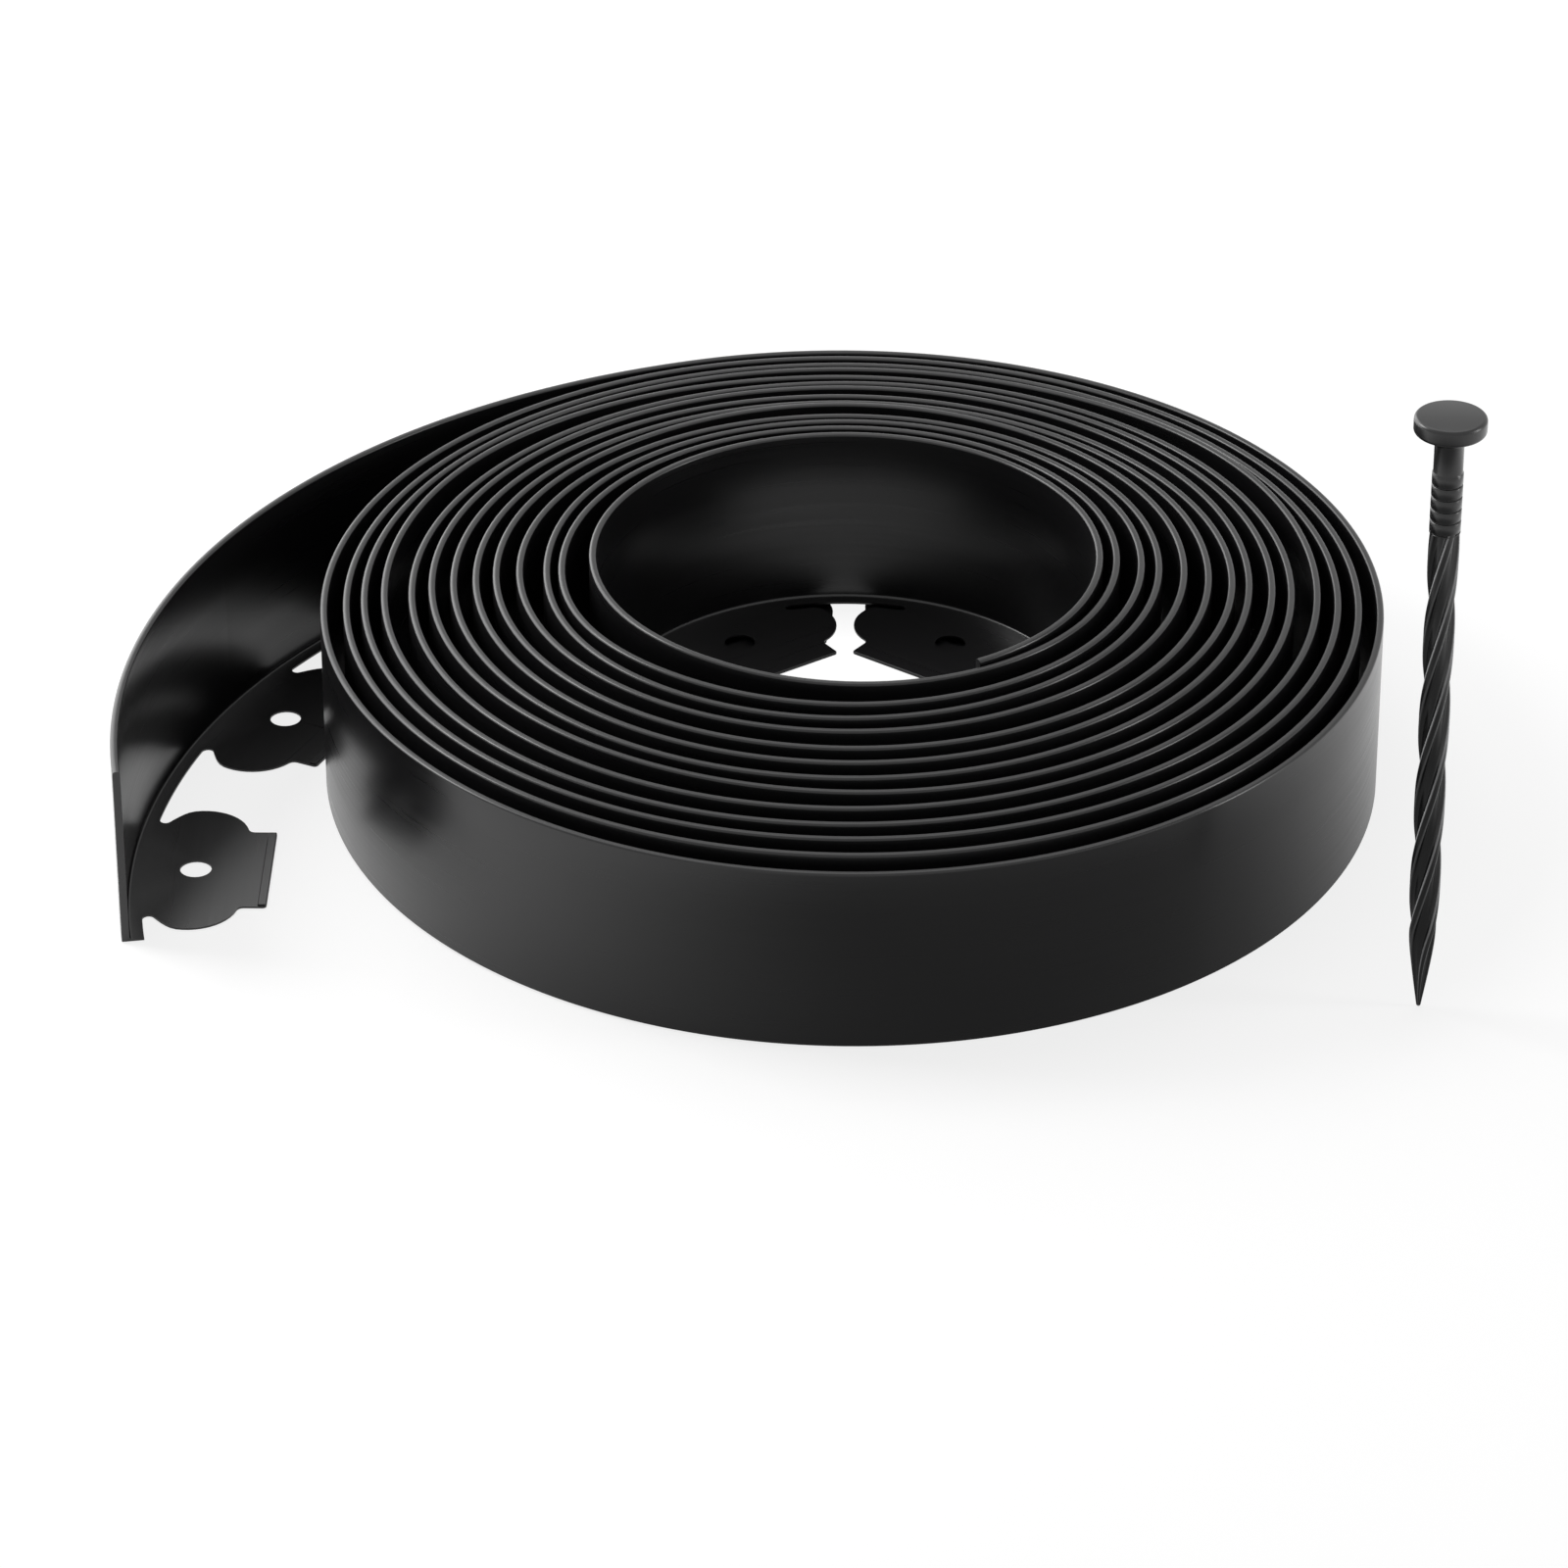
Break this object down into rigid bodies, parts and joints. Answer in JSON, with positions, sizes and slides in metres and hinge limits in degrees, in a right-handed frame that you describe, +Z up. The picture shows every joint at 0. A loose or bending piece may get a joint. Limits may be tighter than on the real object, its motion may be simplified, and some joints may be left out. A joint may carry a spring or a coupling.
{
  "type": "lawn edging coil with anchor spike",
  "caption": "Flat coil of black plastic lawn edging with a tabbed flange, its free end swung out, and a twisted anchor spike.",
  "frame": {"origin": "middle of the whole set's footprint, on the ground", "axes": "+Z up, +X along the longest extent, from the free end towards the spike; the coil's axis is parallel to +Z"},
  "size_m": [0.413, 0.3436, 0.203],
  "materials": {
    "edging_plastic": "black extruded polyethylene with a soft satin sheen",
    "spike_plastic": "black injection-moulded polypropylene, satin"
  },
  "bodies": {
    "coil": {"edging_coil": "edging_plastic"},
    "near_length": {"free_end_near": "edging_plastic"},
    "middle_length": {"free_end_middle": "edging_plastic"},
    "tip_length": {"free_end_tip": "edging_plastic"},
    "spike": {"anchor_spike": "spike_plastic"}
  },
  "joints": [
    {"name": "near_flex", "type": "hinge", "parent": "coil", "child": "near_length", "pos_m": [-0.06995, 0.14841, 0], "axis": [0, 0, -1], "range_deg": [0, 25]},
    {"name": "middle_flex", "type": "hinge", "parent": "near_length", "child": "middle_length", "pos_m": [-0.15311, 0.08085, 0], "axis": [0, 0, -1], "range_deg": [0, 25]},
    {"name": "tip_flex", "type": "hinge", "parent": "middle_length", "child": "tip_length", "pos_m": [-0.19983, -0.01557, 0], "axis": [0, 0, -1], "range_deg": [0, 25]},
    {"name": "spike_lift", "type": "slide", "parent": "coil", "child": "spike", "axis": [0, 0, 1], "range_m": [0, 0.25]}
  ],
  "couplings": [
    {"joint": "middle_flex", "follows": "near_flex", "ratio": 1},
    {"joint": "tip_flex", "follows": "near_flex", "ratio": 1}
  ]
}
